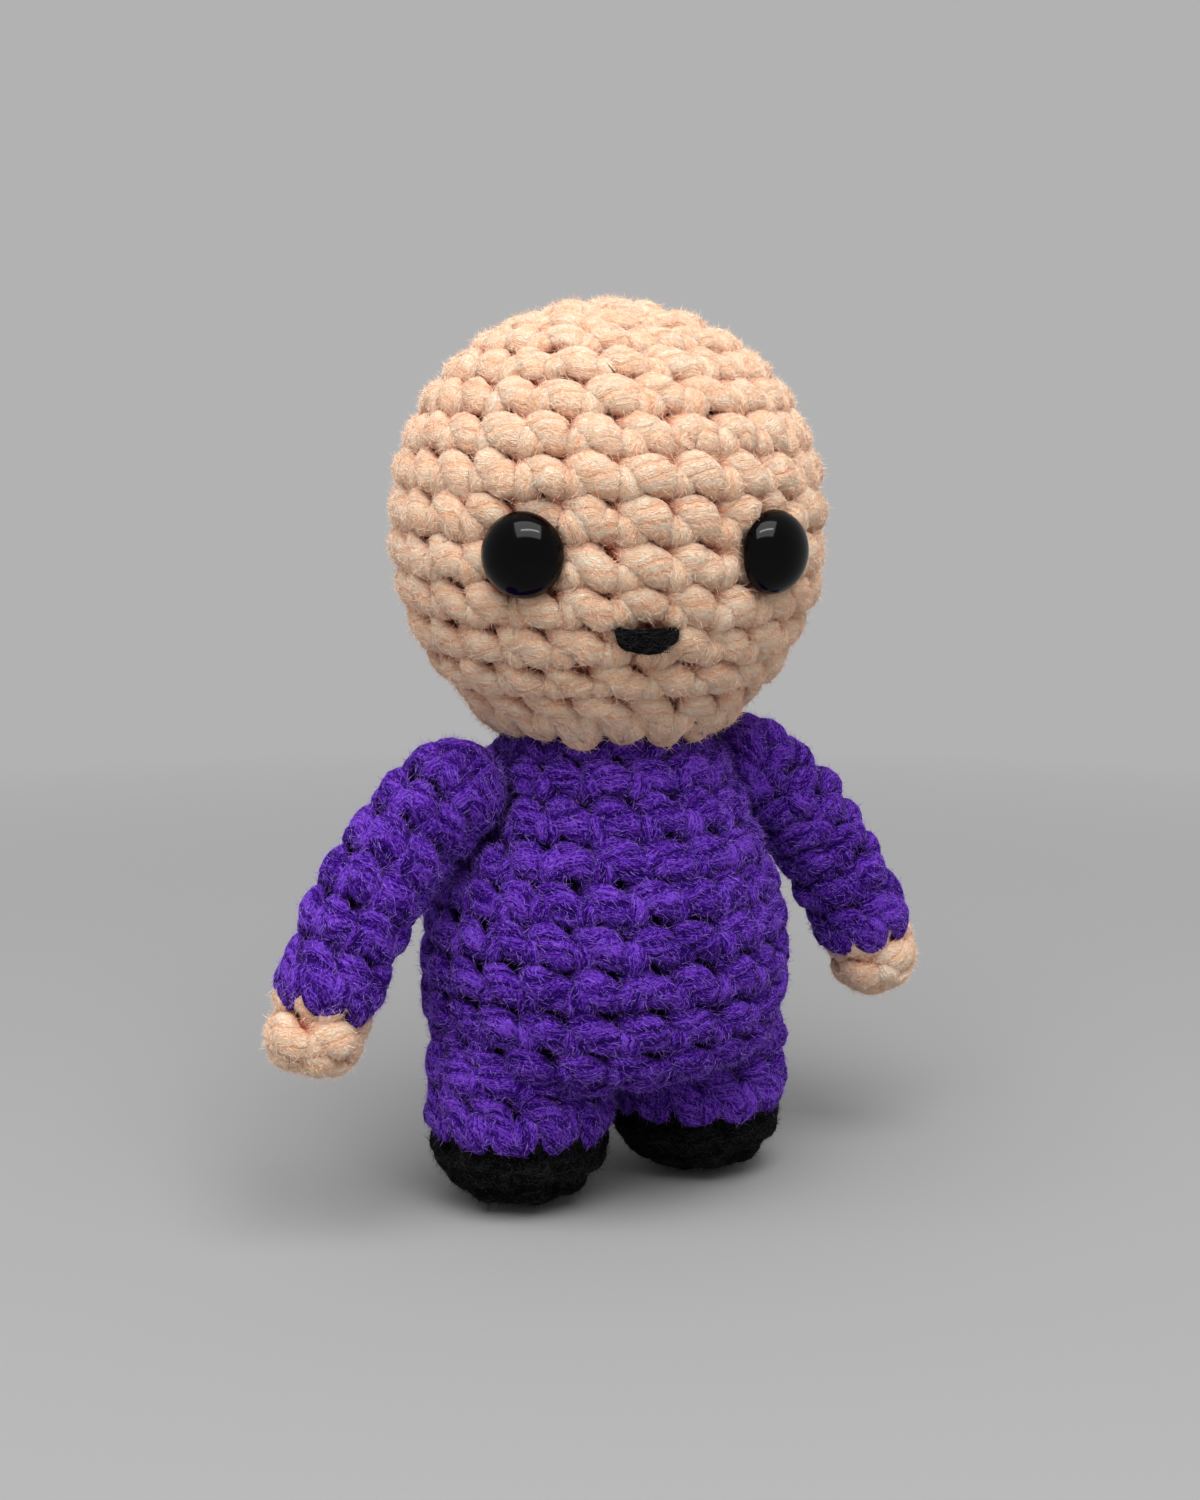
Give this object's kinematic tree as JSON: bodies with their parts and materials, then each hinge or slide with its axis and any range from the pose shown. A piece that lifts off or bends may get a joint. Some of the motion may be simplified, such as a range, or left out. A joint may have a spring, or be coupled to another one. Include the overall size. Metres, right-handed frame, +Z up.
{
  "type": "crochet doll",
  "caption": "Small standing crocheted doll with a bald round head, domed eyes, a plain tunic worked in one with trouser legs, sewn-on arms and rounded shoes.",
  "frame": {"origin": "middle of the doll's box, on the plane of the soles", "axes": "+Z up along the doll's upright axis; the doll faces -Y; its left hand is on +X"},
  "size_m": [0.0738, 0.0444, 0.0885],
  "materials": {
    "peach_yarn": "matte",
    "purple_yarn": "matte",
    "black_yarn": "matte",
    "fibre_fill": "matte",
    "eye_plastic": "gloss",
    "washer_plastic": "matte"
  },
  "bodies": {
    "body": {"body_cover": "purple_yarn", "body_stuffing": "fibre_fill", "right_shoe": "black_yarn", "left_shoe": "black_yarn", "right_leg_stuffing": "fibre_fill", "left_leg_stuffing": "fibre_fill"},
    "neck": {"neck_stuffing": "fibre_fill"},
    "head": {"head_cover": "peach_yarn", "head_stuffing": "fibre_fill", "right_eye": "eye_plastic", "left_eye": "eye_plastic", "right_eye_washer": "washer_plastic", "left_eye_washer": "washer_plastic", "mouth": "black_yarn"},
    "right_shoulder": {"right_arm_seam": "purple_yarn"},
    "right_arm": {"right_sleeve": "purple_yarn", "right_hand": "peach_yarn", "right_arm_stuffing": "fibre_fill"},
    "left_shoulder": {"left_arm_seam": "purple_yarn"},
    "left_arm": {"left_sleeve": "purple_yarn", "left_hand": "peach_yarn", "left_arm_stuffing": "fibre_fill"}
  },
  "joints": [
    {"name": "head_turn", "type": "hinge", "parent": "body", "child": "neck", "pos_m": [0, 0.00063, 0.037], "axis": [0, 0, 1], "range_deg": [-15, 45], "stiffness_Nm_per_rad": 0.01},
    {"name": "head_nod", "type": "hinge", "parent": "neck", "child": "head", "pos_m": [0, 0.00063, 0.037], "axis": [1, 0, 0], "range_deg": [-10, 12], "stiffness_Nm_per_rad": 0.05},
    {"name": "right_arm_lift", "type": "hinge", "parent": "body", "child": "right_shoulder", "pos_m": [-0.017, 0.00063, 0.0416], "axis": [0, 1, 0], "range_deg": [-5, 40], "stiffness_Nm_per_rad": 0.006},
    {"name": "right_arm_swing", "type": "hinge", "parent": "right_shoulder", "child": "right_arm", "pos_m": [-0.017, 0.00063, 0.0416], "axis": [-1, 0, 0], "range_deg": [-25, 25], "stiffness_Nm_per_rad": 0.006},
    {"name": "left_arm_lift", "type": "hinge", "parent": "body", "child": "left_shoulder", "pos_m": [0.017, 0.00063, 0.0416], "axis": [0, -1, 0], "range_deg": [-5, 40], "stiffness_Nm_per_rad": 0.006},
    {"name": "left_arm_swing", "type": "hinge", "parent": "left_shoulder", "child": "left_arm", "pos_m": [0.017, 0.00063, 0.0416], "axis": [-1, 0, 0], "range_deg": [-25, 25], "stiffness_Nm_per_rad": 0.006}
  ]
}
